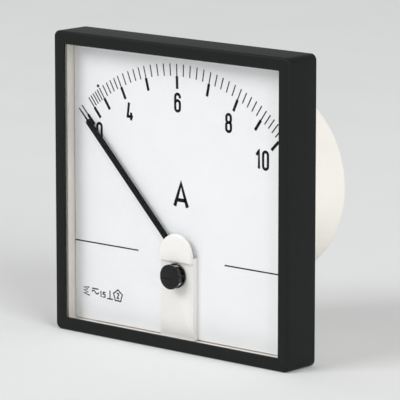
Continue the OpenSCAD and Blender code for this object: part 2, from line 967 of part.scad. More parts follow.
// Aluminium sector that runs in the magnet's gap.
module damping_vane() {
    color("#c6cacc")
        at_pivot()
            clock(rest_angle)
                plate(vane_front, vane_thickness)
                    difference() {
                        union() {
                            circle(vane_collar_radius, $fn = small_fn);
                            translate([-1, 0])
                                square([2, vane_inner + 1]);
                            intersection() {
                                difference() {
                                    circle(vane_radius, $fn = $fn);
                                    circle(vane_inner, $fn = $fn);
                                }
                                sector(vane_half_angle, vane_radius * 2);
                            }
                        }
                        circle(spindle_radius, $fn = small_fn);
                    }
}

module sector(half_angle, reach)
    polygon([[0, 0], clock_point(reach, -half_angle), clock_point(reach, half_angle)]);

// Block magnet with a slot, on the movement base above the spindle.
module damping_magnet() {
    magnet_front = vane_front - magnet_gap - magnet_limb;
    color("#4a4c4e")
        at_pivot()
            difference() {
                translate([-magnet_width / 2, magnet_front, magnet_inner])
                    cube([magnet_width, base_front - magnet_front,
                        magnet_outer - magnet_inner]);
                translate([-magnet_width / 2 - 1, vane_front - magnet_gap,
                        magnet_inner - 1])
                    cube([magnet_width + 2, vane_thickness + 2 * magnet_gap,
                        magnet_yoke_inner - magnet_inner + 1]);
            }
}

// Curved soft-iron sheet on two spokes, inside the coil.
module moving_iron() {
    spoke = 0.8;
    color("#6f7274")
        at_pivot()
            clock(rest_angle + 180) {
                iron_shell(moving_iron_outer, moving_iron_span,
                    bobbin_front + iron_margin, bobbin_length - 2 * iron_margin);
                for (y = [bobbin_front + iron_margin,
                        bobbin_back - iron_margin - spoke])
                    plate(y, spoke)
                        difference() {
                            union() {
                                circle(spindle_radius + 0.6, $fn = small_fn);
                                translate([-0.6, 0])
                                    square([1.2, moving_iron_outer - iron_sheet / 2]);
                            }
                            circle(spindle_radius, $fn = small_fn);
                        }
            }
}

// Curved soft-iron sheet on the wall of the bobbin's bore.
module fixed_iron() {
    color("#7b7e80")
        at_pivot()
            clock(rest_angle + 180 - moving_iron_span)
                iron_shell(fixed_iron_outer, fixed_iron_span, bobbin_front + iron_margin,
                    bobbin_length - 2 * iron_margin);
}

module iron_shell(outer, span, y_front, length)
    clock(-90 - span / 2)
        translate([0, y_front, 0])
            turned(span)
                translate([outer - iron_sheet, 0])
                    square([iron_sheet, length]);

// ---------- coil ----------

module coil_bobbin() {
    color("#1d1d1b")
        at_pivot()
            difference() {
                union() {
                    rod(bobbin_front, bobbin_length, winding_inner);
                    for (y = [bobbin_front, bobbin_back - bobbin_flange])
                        rod(y, bobbin_flange, bobbin_diameter / 2);
                }
                rod(bobbin_front - overlap, bobbin_length + 2 * overlap,
                    bobbin_bore_radius);
                for (x = terminals)
                    translate([x * lead_offset, 0, lead_rise])
                        rod(bobbin_back - bobbin_flange - 1, bobbin_flange + 2,
                            lead_radius + small_fit);
            }
}

// Copper winding between the flanges, grooved between its turns.
module coil_winding() {
    length = bobbin_length - 2 * bobbin_flange;
    pitch = length / winding_turns;
    color("#b06a3a")
        at_pivot()
            translate([0, bobbin_front + bobbin_flange, 0])
                turned()
                    polygon(concat([[winding_inner, 0]],
                        [for (i = [0 : winding_turns - 1], p = [[0, 1], [0.25, 0],
                                [0.75, 0]])
                            [winding_radius - winding_groove * p[1], (i + p[0]) * pitch]],
                        [[winding_radius - winding_groove, length],
                            [winding_inner, length]]));
}

// Two heavy wires from the winding to the terminal studs' heads.
module coil_leads() {
    lead_y = rear_bridge_back + 0.5;
    color("#b87444")
        for (x = terminals) {
            start = [x * lead_offset, bobbin_back - bobbin_flange, pivot_z + lead_rise];
            bend = [x * lead_offset, lead_y, pivot_z + lead_rise];
            turn = [x * terminal_pitch / 2, lead_y, terminal_rise];
            finish = [x * terminal_pitch / 2, back_inside - stud_head, terminal_rise];
            wire(start, bend);
            wire(bend, turn);
            wire(turn, finish);
            for (point = [bend, turn])
                translate(point)
                    sphere(lead_radius, $fn = small_fn);
        }
}

module wire(from, to) {
    step = to - from;
    length = norm(step);
    translate(from)
        rotate([0, acos(step[2] / length), atan2(step[1], step[0])])
            cylinder(h = length, r = lead_radius, $fn = small_fn);
}

// ---------- movement base ----------

module movement_base() {
    color("#3a3b3a")
        difference() {
            rod(base_front, base_thickness, base_radius, $fn);
            at_pivot() {
                rod(base_front - 1, base_thickness + 2, spindle_radius + 1.2);
                for (angle = [low_stop_angle, high_stop_angle])
                    clock(angle)
                        translate([0, 0, stop_ring])
                            rod(base_front - 1, base_thickness + 2, stop_wire_radius);
            }
            for (angle = base_post_angles)
                clock(angle)
                    translate([0, 0, base_post_ring])
                        rod(base_front - 1, base_thickness + 2, base_screw_radius);
        }
}

module base_screws() {
    color("#c9c9c4")
        for (angle = base_post_angles)
            clock(angle)
                translate([0, 0, base_post_ring])
                    slotted_screw(base_front - base_screw_head, base_screw_head_radius,
                        base_screw_head, base_screw_radius, base_thickness + 4);
}

// Wire posts that stop the balance tail at both ends of the scale.
module pointer_stops() {
    color("#b9b9b4")
        at_stops()
            rod(balance_y - stop_sleeve_length / 2,
                base_back - balance_y + stop_sleeve_length / 2, stop_wire_radius);
}

module stop_sleeves() {
    color("#1b1b1b")
        at_stops()
            ring(balance_y - stop_sleeve_length / 2, stop_sleeve_length,
                stop_sleeve_radius, stop_wire_radius);
}

module at_stops()
    at_pivot()
        for (angle = [low_stop_angle, high_stop_angle])
            clock(angle)
                translate([0, 0, stop_ring])
                    children();

// ---------- terminals ----------

module at_terminals()
    for (x = terminals)
        translate([x * terminal_pitch / 2, 0, terminal_rise])
            children();

// Hexagon-headed studs; inside a nut the thread is drawn at its mean diameter.
module terminal_studs() {
    color("#c8a85a")
        at_terminals() {
            rod(back_inside - stud_head, stud_head, stud_head_radius, 6);
            difference() {
                rod(back_inside - overlap, barrel_wall + stud_reach + overlap, stud_radius);
                for (y = nut_fronts)
                    ring(y, nut_height, stud_radius + 1, stud_core_radius);
            }
        }
}

module terminal_washers() {
    color("#d2d2cc")
        at_terminals()
            ring(terminal_face, washer_thickness, washer_radius, stud_radius);
}

module terminal_nuts() {
    color("#cdb268")
        at_terminals()
            hex_nut(nut_fronts[0], nut_height, nut_radius, stud_core_radius);
}

module wire_washers() {
    color("#d2d2cc")
        at_terminals()
            ring(nut_fronts[1] - washer_thickness, washer_thickness, washer_radius,
                stud_radius);
}

module wire_nuts() {
    color("#cdb268")
        at_terminals()
            hex_nut(nut_fronts[1], nut_height, nut_radius, stud_core_radius);
}

bezel_frame();
window_pane();
window_seal();
meter_case();
dial_plate();
dial_scale();
dial_screws();
hub_cover();
zero_adjuster();
adjuster_collar();
zero_lever();
front_jewel_screw();
rear_jewel_screw();
jewel_lock_nuts();
hairspring();
spring_collet();
spindle();
pointer();
pointer_hub();
balance_weights();
damping_vane();
damping_magnet();
moving_iron();
fixed_iron();
coil_bobbin();
coil_winding();
coil_leads();
movement_base();
base_screws();
bridge_pillars();
front_bridge();
rear_bridge();
bridge_screws();
pointer_stops();
stop_sleeves();
terminal_studs();
terminal_washers();
terminal_nuts();
wire_washers();
wire_nuts();
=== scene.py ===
"""Looks of a square analog panel meter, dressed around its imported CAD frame.

Every length named ``mm`` is in millimetres and is turned to metres by ``MM``. The frame has its
origin in the middle of the panel's front plane, +X to the reader's right, +Y into the panel and
+Z up, so the dial faces -Y.
"""

from __future__ import annotations

import json
import logging
import math
from dataclasses import dataclass, field
from enum import Enum
from typing import Callable, Iterable, Sequence

import bmesh
import bpy
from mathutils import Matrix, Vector


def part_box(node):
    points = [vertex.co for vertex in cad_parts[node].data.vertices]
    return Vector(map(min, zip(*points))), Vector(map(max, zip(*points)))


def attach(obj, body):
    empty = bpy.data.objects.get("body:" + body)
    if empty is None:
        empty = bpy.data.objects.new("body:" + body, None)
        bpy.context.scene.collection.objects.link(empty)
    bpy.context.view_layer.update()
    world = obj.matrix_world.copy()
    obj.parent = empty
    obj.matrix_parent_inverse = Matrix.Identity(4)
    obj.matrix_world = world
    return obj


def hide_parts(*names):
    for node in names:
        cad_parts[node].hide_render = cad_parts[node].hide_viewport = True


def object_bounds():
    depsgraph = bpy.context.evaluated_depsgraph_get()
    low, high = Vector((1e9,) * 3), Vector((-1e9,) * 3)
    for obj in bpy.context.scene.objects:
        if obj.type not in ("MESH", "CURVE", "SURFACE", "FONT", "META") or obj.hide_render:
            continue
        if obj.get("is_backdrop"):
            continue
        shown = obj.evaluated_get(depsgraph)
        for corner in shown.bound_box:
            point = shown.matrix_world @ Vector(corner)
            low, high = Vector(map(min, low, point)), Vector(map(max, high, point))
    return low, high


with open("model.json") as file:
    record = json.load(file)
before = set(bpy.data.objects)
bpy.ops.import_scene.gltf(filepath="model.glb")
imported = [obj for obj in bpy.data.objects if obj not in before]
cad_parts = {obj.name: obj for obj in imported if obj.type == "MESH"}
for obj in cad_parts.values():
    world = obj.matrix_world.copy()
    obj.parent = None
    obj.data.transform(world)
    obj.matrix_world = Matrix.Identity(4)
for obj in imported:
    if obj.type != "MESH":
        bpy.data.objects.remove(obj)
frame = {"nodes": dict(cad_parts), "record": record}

MM = 0.001
LOG = logging.getLogger("panel_meter")

Point = tuple[float, float]
Place = tuple[float, float, float]

# Corners closer than this are one corner, in mm.
WELD_MM = 0.0005
# Faces that bend less than this are one face, in degrees.
FLAT_DEG = 0.5
# The range that most of a noise's values fall in.
NOISE_MIDDLE = (0.3, 0.7)
# Edges that bend more than this get the rounding of a moulded edge, in degrees.
EDGE_DEG = 32
# Edges of a rounded moulding that bend more than this stay sharp, in degrees.
CREASE_DEG = 40


class Body(Enum):
    """The rigid bodies that a piece can ride on."""

    CASE = "case"
    ADJUSTER = "adjuster"


class Lay(Enum):
    """How the fine lines of a worked metal surface run."""

    TURNED = "turned"
    ROLLED = "rolled"
    BLASTED = "blasted"


# How each lay stretches its lines: the smaller a share, the longer they run that way.
LAY_STRETCH = {
    Lay.TURNED: (0.08, 1.0, 0.08),
    Lay.ROLLED: (0.05, 1.0, 1.0),
    Lay.BLASTED: (1.0, 1.0, 1.0),
}


# ---------------------------------------------------------------------------------------------
# Node helpers
# ---------------------------------------------------------------------------------------------


def linear(hex_colour: str) -> tuple[float, float, float, float]:
    """Turns an sRGB hex colour to a linear one.

    Args:
        hex_colour: six hex digits, such as "1f211f".

    Returns:
        Linear red, green, blue and an alpha of 1.
    """
    channels = [int(hex_colour[i : i + 2], 16) / 255 for i in (0, 2, 4)]
    red, green, blue = (
        c / 12.92 if c <= 0.04045 else ((c + 0.055) / 1.055) ** 2.4 for c in channels
    )
    return red, green, blue, 1.0


def put(
    tree: bpy.types.NodeTree,
    kind: str,
    values: dict[str | int, object] | None = None,
    links: dict[str | int, bpy.types.NodeSocket] | None = None,
    **settings: object,
) -> bpy.types.Node:
    """Adds one node with its settings, socket values and incoming links.

    Args:
        tree: the node tree that gets the node.
        kind: the node's type name.
        values: constants for input sockets, by name or number.
        links: output sockets that feed input sockets, by name or number.
        settings: the node's own properties.

    Returns:
        The new node.
    """
    made = tree.nodes.new(kind)
    for name, value in settings.items():
        setattr(made, name, value)
    for socket, value in (values or {}).items():
        made.inputs[socket].default_value = value
    for socket, source in (links or {}).items():
        tree.links.new(source, made.inputs[socket])
    return made


def shade(colour: tuple[float, ...], factor: float) -> tuple[float, float, float, float]:
    """A colour made lighter or darker.

    Args:
        colour: the linear colour.
        factor: what each channel is multiplied by.

    Returns:
        The colour, each channel held within 0 and 1.
    """
    red, green, blue = (min(1.0, max(0.0, c * factor)) for c in colour[:3])
    return red, green, blue, 1.0


def new_material(name: str) -> tuple[bpy.types.Material, bpy.types.NodeTree]:
    """Starts an empty node material.

    Args:
        name: the material's name.

    Returns:
        The material and its emptied node tree.
    """
    material = bpy.data.materials.new(name)
    material.use_nodes = True
    material.node_tree.nodes.clear()
    return material, material.node_tree


def noise(
    tree: bpy.types.NodeTree, vector: bpy.types.NodeSocket, size_mm: float, detail: float = 3.0
) -> bpy.types.NodeSocket:
    """A noise pattern whose blotches have a real size.

    Args:
        tree: the material's tree.
        vector: coordinates in metres.
        size_mm: rough size of one blotch.
        detail: octaves of finer noise.

    Returns:
        The noise value, 0 to 1.
    """
    made = put(
        tree,
        "ShaderNodeTexNoise",
        {"Scale": 1 / (size_mm * MM), "Detail": detail, "Roughness": 0.55},
        {"Vector": vector},
    )
    return made.outputs["Fac"]


def spread(
    tree: bpy.types.NodeTree, source: bpy.types.NodeSocket, low: float, high: float
) -> bpy.types.NodeSocket:
    """Maps the middle of a noise to a range of values.

    Args:
        tree: the material's tree.
        source: the noise value.
        low: result at the low end of the middle.
        high: result at its high end.

    Returns:
        The mapped value.
    """
    made = put(
        tree,
        "ShaderNodeMapRange",
        {
            "From Min": NOISE_MIDDLE[0],
            "From Max": NOISE_MIDDLE[1],
            "To Min": low,
            "To Max": high,
        },
        {"Value": source},
    )
    return made.outputs["Result"]


def tint(
    tree: bpy.types.NodeTree, source: bpy.types.NodeSocket, dark: tuple, light: tuple
) -> bpy.types.NodeSocket:
    """Colours a noise between two tones.

    Args:
        tree: the material's tree.
        source: the noise value.
        dark: colour where the noise is low.
        light: colour where the noise is high.

    Returns:
        The colour.
    """
    made = put(tree, "ShaderNodeValToRGB", links={"Fac": source})
    for element, place, colour in zip(made.color_ramp.elements, NOISE_MIDDLE, (dark, light)):
        element.position = place
        element.color = colour
    return made.outputs["Color"]


# ---------------------------------------------------------------------------------------------
# Finishes
# ---------------------------------------------------------------------------------------------


@dataclass(frozen=True)
class Cloud:
    """Slow changes of tone over a surface."""

    size_mm: float
    detail: float
    contrast: float


@dataclass(frozen=True)
class Grain:
    """A fine relief, which also stirs the gloss."""

    size_mm: float
    detail: float
    height_mm: float
    strength: float
    gloss_swing: float
    stretch: Place = (1.0, 1.0, 1.0)


def opaque(
    name: str,
    hex_colour: str,
    roughness: float,
    cloud: Cloud,
    grain: Grain,
    values: dict[str | int, object],
) -> bpy.types.Material:
    """Builds an opaque surface with a clouded colour under a fine relief.

    Args:
        name: the material's name.
        hex_colour: its sRGB colour.
        roughness: the middle of its roughness.
        cloud: its changes of tone.
        grain: its relief.
        values: further constants of the shader.

    Returns:
        The material.
    """
    material, tree = new_material(name)
    place = put(tree, "ShaderNodeTexCoord").outputs["Object"]
    tones = noise(tree, place, cloud.size_mm, cloud.detail)
    along = put(tree, "ShaderNodeMapping", {"Scale": grain.stretch}, {"Vector": place})
    relief = noise(tree, along.outputs["Vector"], grain.size_mm, grain.detail)
    bump = put(
        tree,
        "ShaderNodeBump",
        {"Strength": grain.strength, "Distance": grain.height_mm * MM},
        {"Height": relief},
    )
    colour, swing = linear(hex_colour), grain.gloss_swing
    dark, light = shade(colour, 1 - cloud.contrast), shade(colour, 1 + cloud.contrast)
    shader = put(
        tree,
        "ShaderNodeBsdfPrincipled",
        values,
        {
            "Base Color": tint(tree, tones, dark, light),
            "Roughness": spread(tree, relief, roughness - swing, roughness + swing),
            "Normal": bump.outputs["Normal"],
        },
    )
    put(tree, "ShaderNodeOutputMaterial", links={"Surface": shader.outputs["BSDF"]})
    return material


@dataclass(frozen=True)
class Plastic:
    """A moulded thermoplastic or rubber: a flow-mottled colour under a fine mould grain."""

    name: str
    colour: str
    roughness: float
    specular: float = 0.5
    mottle: float = 0.06
    mottle_mm: float = 6.0
    grain_mm: float = 0.35
    grain_height_mm: float = 0.004
    ior: float = 1.53

    def build(self) -> bpy.types.Material:
        """Builds the node material."""
        return opaque(
            self.name,
            self.colour,
            self.roughness,
            Cloud(self.mottle_mm, detail=2.0, contrast=self.mottle),
            Grain(self.grain_mm, 3.0, self.grain_height_mm, strength=0.6, gloss_swing=0.05),
            {"IOR": self.ior, "Specular IOR Level": self.specular},
        )


@dataclass(frozen=True)
class Metal:
    """A bare or plated metal with the fine lines that its working left."""

    name: str
    colour: str
    roughness: float
    lay: Lay
    line_mm: float = 0.12
    line_height_mm: float = 0.003
    stain: float = 0.12
    stain_mm: float = 3.0

    def build(self) -> bpy.types.Material:
        """Builds the node material."""
        lines = LAY_STRETCH[self.lay]
        return opaque(
            self.name,
            self.colour,
            self.roughness,
            Cloud(self.stain_mm, detail=3.0, contrast=self.stain),
            Grain(self.line_mm, 4.0, self.line_height_mm, 0.7, gloss_swing=0.07, stretch=lines),
            {"Metallic": 1.0},
        )


@dataclass(frozen=True)
class ClearPane:
    """A clear acrylic window: see-through, with a Fresnel gloss and a breath of haze."""

    name: str
    tone: str
    haze_mm: float = 9.0
    haze: float = 0.008
    roughness: float = 0.03
    # Low, as on a pane with a reflection-reducing surface, so that the dial stays clear.
    gloss_ior: float = 1.12

    def build(self) -> bpy.types.Material:
        """Builds the node material."""
        material, tree = new_material(self.name)
        place = put(tree, "ShaderNodeTexCoord").outputs["Object"]
        cloud = noise(tree, place, self.haze_mm, 2.0)
        tone = linear(self.tone)
        clear = put(
            tree,
            "ShaderNodeBsdfTransparent",
            links={"Color": tint(tree, cloud, shade(tone, 1 - self.haze), tone)},
        )
        gloss = put(
            tree,
            "ShaderNodeBsdfGlossy",
            {"Color": linear("ffffff")},
            {"Roughness": spread(tree, cloud, self.roughness, self.roughness * 2)},
        )
        edge = put(tree, "ShaderNodeFresnel", {"IOR": self.gloss_ior})
        mixed = put(
            tree,
            "ShaderNodeMixShader",
            links={0: edge.outputs["Fac"], 1: clear.outputs["BSDF"], 2: gloss.outputs["BSDF"]},
        )
        put(tree, "ShaderNodeOutputMaterial", links={"Surface": mixed.outputs["Shader"]})
        return material


# One finish for each slot of the record, in the order in which the meter is put together.
FINISHES: dict[str, Plastic | Metal | ClearPane] = {
    # Black ABS from a spark-eroded mould: a dull, faintly green black that never shines.
    "bezel_plastic": Plastic("grained_black_abs", "0e1110", 0.5, 0.2, 0.10, 5.0, 0.30, 0.006),
    # Clear acrylic sheet: colourless, seen only by a breath of haze and a soft gleam.
    "window_glass": ClearPane("clear_acrylic", "ffffff"),
    # Closed-cell rubber cord: a flat, dusty tone in the gap round the window.
    "seal_rubber": Plastic("seal_rubber", "8f8b80", 0.85, 0.3, 0.08, 1.5, 0.15, 0.01, 1.52),
    # Ivory polystyrene case: warm, softly shining, with slow flow marks.
    "ivory_plastic": Plastic("ivory_polystyrene", "f3efe6", 0.48, 0.4, 0.015, 14.0, 0.5, 0.003),
    # Off-white polystyrene cover: smoother and cleaner than the case.
    "cover_plastic": Plastic("white_polystyrene", "fbf9f5", 0.42, 0.4, 0.01, 9.0, 0.5, 0.002),
    # Matt enamel on the aluminium dial: even and cool, with a fine orange peel.
    "dial_paint": Plastic("matt_white_enamel", "f7f8f9", 0.72, 0.2, 0.008, 12.0, 0.25, 0.003),
    # Screen-printing ink: dense, matt and a little uneven.
    "dial_ink": Plastic("black_screen_ink", "0c0d0d", 0.75, 0.12, 0.12, 0.6, 0.1, 0.002, 1.5),
    # Polished black ABS knob: takes one clear highlight.
    "knob_plastic": Plastic("polished_black_abs", "030403", 0.2, 0.3, 0.08, 3.0, 0.4, 0.0006),
    # Matt black lacquer on the pointer's aluminium sheet.
    "pointer_paint": Plastic("black_lacquer", "0a0d0c", 0.6, 0.08, 0.08, 1.2, 0.2, 0.002),
    # Aluminium sheet as it left the rolls: pale with fine straight lines.
    "aluminium": Metal("rolled_aluminium", "dcdee0", 0.36, Lay.ROLLED, 0.10),
    # Free-cutting brass off the lathe: yellow, with rings and slight tarnish.
    "brass": Metal("turned_brass", "dcbd78", 0.30, Lay.TURNED, 0.10, 0.003, 0.14),
    # Phosphor bronze strip: redder than the brass and smoother.
    "bronze": Metal("rolled_bronze", "c98a58", 0.32, Lay.ROLLED, 0.08),
    # Enamelled copper wire: red-brown with a varnish gleam.
    "copper_wire": Metal("enamelled_copper", "c06f43", 0.25, Lay.TURNED, 0.25, 0.01, 0.1, 1.5),
    # Bright zinc on steel: bluish grey with a faint crystalline cloud.
    "zinc_steel": Metal("zinc_plated_steel", "c9ccd0", 0.34, Lay.BLASTED, 0.2, 0.002, 0.08, 1.2),
    # Annealed iron sheet: dark, dull grey scale.
    "soft_iron": Metal("annealed_iron", "8b8d90", 0.5, Lay.ROLLED, 0.15, 0.003, 0.2, 2.0),
    # Sintered magnet: dark and granular.
    "magnet": Metal("sintered_magnet", "55585b", 0.6, Lay.BLASTED, 0.15, 0.01, 0.2, 0.8),
    # Black phenolic movement parts: hard, with a light sheen.
    "movement_plastic": Plastic("black_phenolic", "2b2b2a", 0.45, 0.45, 0.15, 2.0, 0.3, 0.003),
}


class Finisher:
    """Builds each finish once and puts it on frame nodes and new pieces."""

    def __init__(self) -> None:
        """Builds the materials of all slots."""
        self.materials = {slot: finish.build() for slot, finish in FINISHES.items()}

    def dress(self, obj: bpy.types.Object, slot: str) -> None:
        """Gives every face of an object the finish of one slot.

        Args:
            obj: a frame node or a piece.
            slot: the record's material slot.
        """
        worn = obj.data.materials
        if not worn:
            worn.append(None)
        for i in range(len(worn)):
            worn[i] = self.materials[slot]

    def dress_frame(self) -> None:
        """Gives every node of the frame the finish that the record names for it."""
        for part in frame["record"]["subparts"]:
            self.dress(frame["nodes"][part["node"]], part["material_slot"])


# ---------------------------------------------------------------------------------------------
# Mesh helpers
# ---------------------------------------------------------------------------------------------


def mesh_object(
    name: str, mesh: bmesh.types.BMesh, smooth_below: float = 35.0
) -> bpy.types.Object:
    """Makes an object of a mesh, smooth but for its sharp edges.

    Args:
        name: the piece's name.
        mesh: the mesh, freed here.
        smooth_below: angle in degrees below which an edge is shaded smooth.

    Returns:
        The object, linked to the scene.
    """
    data = bpy.data.meshes.new(name)
    bmesh.ops.recalc_face_normals(mesh, faces=mesh.faces)
    mesh.to_mesh(data)
    mesh.free()
    obj = bpy.data.objects.new(name, data)
    bpy.context.scene.collection.objects.link(obj)
    data.shade_smooth()
    data.set_sharp_from_angle(angle=math.radians(smooth_below))
    return obj


def baked(obj: bpy.types.Object, name: str) -> bpy.types.Object:
    """Turns an object with its modifiers into a plain mesh object.

    Args:
        obj: the source object, removed here.
        name: name of the result.

    Returns:
        The plain object.
    """
    bpy.context.view_layer.update()
    evaluated = obj.evaluated_get(bpy.context.evaluated_depsgraph_get())
    data = bpy.data.meshes.new_from_object(evaluated)
    source = obj.data
    bpy.data.objects.remove(obj)
    if source.users == 0:
        bpy.data.meshes.remove(source)
    data.name = name
    result = bpy.data.objects.new(name, data)
    bpy.context.scene.collection.objects.link(result)
    return result


def square_ring(half: float, radius: float, y: float, steps: int) -> list[Vector]:
    """Corner-rounded square in a plane across Y.

    Args:
        half: half the square's side, in mm.
        radius: corner radius, in mm.
        y: the plane's place, in mm.
        steps: segments to a corner.

    Returns:
        The outline's points in metres, anticlockwise seen from the reader.
    """
    points = []
    centre = half - radius
    for quarter, (x_side, z_side) in enumerate(((1, 1), (-1, 1), (-1, -1), (1, -1))):
        for i in range(steps + 1):
            angle = (quarter + i / steps) * math.pi / 2
            x = x_side * centre + radius * math.cos(angle)
            z = z_side * centre + radius * math.sin(angle)
            points.append(Vector((x, y, z)) * MM)
    return points


def round_ring(
    radius: float, y: float, sides: int, reach: Callable[[float], float] | None = None
) -> list[Vector]:
    """Ring about the Y axis.

    Args:
        radius: the ring's radius, in mm.
        y: its place along the axis, in mm.
        sides: points round the axis.
        reach: optional radius in mm at an angle from +X towards +Z, used in the radius's place.

    Returns:
        The ring's points in metres.
    """
    points = []
    for i in range(sides):
        angle = 2 * math.pi * i / sides
        own = reach(angle) if reach else radius
        points.append(Vector((own * math.cos(angle), y, own * math.sin(angle))) * MM)
    return points


def loft(
    rings: Sequence[Sequence[Vector]],
    closed_section: bool = True,
    mesh: bmesh.types.BMesh | None = None,
) -> bmesh.types.BMesh:
    """Joins rings of equal length into a tube.

    Args:
        rings: closed rings in order.
        closed_section: True joins the last ring to the first, False caps both ends.
        mesh: a mesh that gets the tube, or none for a new one.

    Returns:
        The mesh.
    """
    mesh = bmesh.new() if mesh is None else mesh
    grid = [[mesh.verts.new(point) for point in ring] for ring in rings]
    count = len(grid[0])
    pairs = list(zip(grid, grid[1:] + grid[:1])) if closed_section else list(zip(grid, grid[1:]))
    for first, second in pairs:
        for i in range(count):
            j = (i + 1) % count
            mesh.faces.new((first[i], first[j], second[j], second[i]))
    if not closed_section:
        mesh.faces.new(grid[0])
        mesh.faces.new(grid[-1][::-1])
    return mesh


def softened(node: str, name: str, width_mm: float, segments: int = 3) -> bpy.types.Object:
    """Copies a frame node's shape and gives its edges the small radius of the real piece.

    Args:
        node: the frame node.
        name: name of the new piece.
        width_mm: width of the rounded edge.
        segments: faces across the rounding.

    Returns:
        The new piece, a plain mesh.
    """
    mesh = bmesh.new()
    mesh.from_mesh(frame["nodes"][node].data)
    bmesh.ops.remove_doubles(mesh, verts=mesh.verts, dist=WELD_MM * MM)
    bmesh.ops.dissolve_limit(
        mesh, angle_limit=math.radians(FLAT_DEG), verts=mesh.verts, edges=mesh.edges
    )
    data = bpy.data.meshes.new(name)
    mesh.to_mesh(data)
    mesh.free()
    data.materials.clear()
    obj = bpy.data.objects.new(name + "_raw", data)
    bpy.context.scene.collection.objects.link(obj)
    bevel = obj.modifiers.new("edges", "BEVEL")
    bevel.width = width_mm * MM
    bevel.segments = segments
    bevel.limit_method = "ANGLE"
    bevel.angle_limit = math.radians(EDGE_DEG)
    bevel.use_clamp_overlap = True
    result = baked(obj, name)
    result.data.shade_smooth()
    result.data.set_sharp_from_angle(angle=math.radians(CREASE_DEG))
    return result


def start_tree(
    name: str, inputs: dict[str, str]
) -> tuple[bpy.types.NodeTree, bpy.types.Node, dict[str, str]]:
    """Starts a geometry tree with named inputs.

    Args:
        name: the tree's name.
        inputs: the kind of each input, by its label.

    Returns:
        The tree, its input node, and each input's key on a modifier.
    """
    tree = bpy.data.node_groups.new(name, "GeometryNodeTree")
    keys = {}
    for label, kind in inputs.items():
        made = tree.interface.new_socket(label, in_out="INPUT", socket_type="NodeSocket" + kind)
        keys[label] = made.identifier
    return tree, put(tree, "NodeGroupInput"), keys


def end_tree(
    tree: bpy.types.NodeTree, copies: bpy.types.NodeSocket, finish: bpy.types.NodeSocket
) -> None:
    """Ends a geometry tree with real meshes that have their finish.

    Args:
        tree: the tree.
        copies: the instances that it made.
        finish: the material input.
    """
    tree.interface.new_socket("Pieces", in_out="OUTPUT", socket_type="NodeSocketGeometry")
    real = put(tree, "GeometryNodeRealizeInstances", links={"Geometry": copies})
    finished = put(
        tree,
        "GeometryNodeSetMaterial",
        links={"Geometry": real.outputs["Geometry"], "Material": finish},
    )
    put(tree, "NodeGroupOutput", links={"Pieces": finished.outputs["Geometry"]})


@dataclass(frozen=True)
class Bar:
    """One straight printed bar: its middle, its width and length in mm, and its turn."""

    x: float
    z: float
    width: float
    length: float
    turn: float


class Copies:
    """A Geometry Nodes tree that sets one base piece at evenly spaced places."""

    def __init__(self) -> None:
        """Builds the tree with its named inputs."""
        kinds = {
            "Piece": "Geometry",
            "Count": "Int",
            "First place": "Vector",
            "Step": "Vector",
            "Finish": "Material",
        }
        tree, given, self.keys = start_tree("evenly_spaced_copies", kinds)
        self.tree = tree
        line = put(
            tree,
            "GeometryNodeMeshLine",
            links={
                "Count": given.outputs["Count"],
                "Start Location": given.outputs["First place"],
                "Offset": given.outputs["Step"],
            },
            mode="OFFSET",
        )
        placed = put(
            tree,
            "GeometryNodeInstanceOnPoints",
            links={"Points": line.outputs["Mesh"], "Instance": given.outputs["Piece"]},
        )
        end_tree(tree, placed.outputs["Instances"], given.outputs["Finish"])

    def spread(
        self,
        base: bpy.types.Object,
        name: str,
        count: int,
        first: Vector,
        step: Vector,
        finish: bpy.types.Material,
    ) -> bpy.types.Object:
        """Repeats a base piece in a row and returns one plain mesh.

        Args:
            base: the piece to repeat, modelled about the origin and used up here.
            name: name of the result.
            count: number of copies.
            first: place of the first copy, in metres.
            step: way from one copy to the next, in metres.
            finish: the material.

        Returns:
            The joined copies as one plain object.
        """
        modifier = base.modifiers.new("copies", "NODES")
        modifier.node_group = self.tree
        modifier[self.keys["Count"]] = count
        modifier[self.keys["First place"]] = first[:]
        modifier[self.keys["Step"]] = step[:]
        modifier[self.keys["Finish"]] = finish
        return baked(base, name)


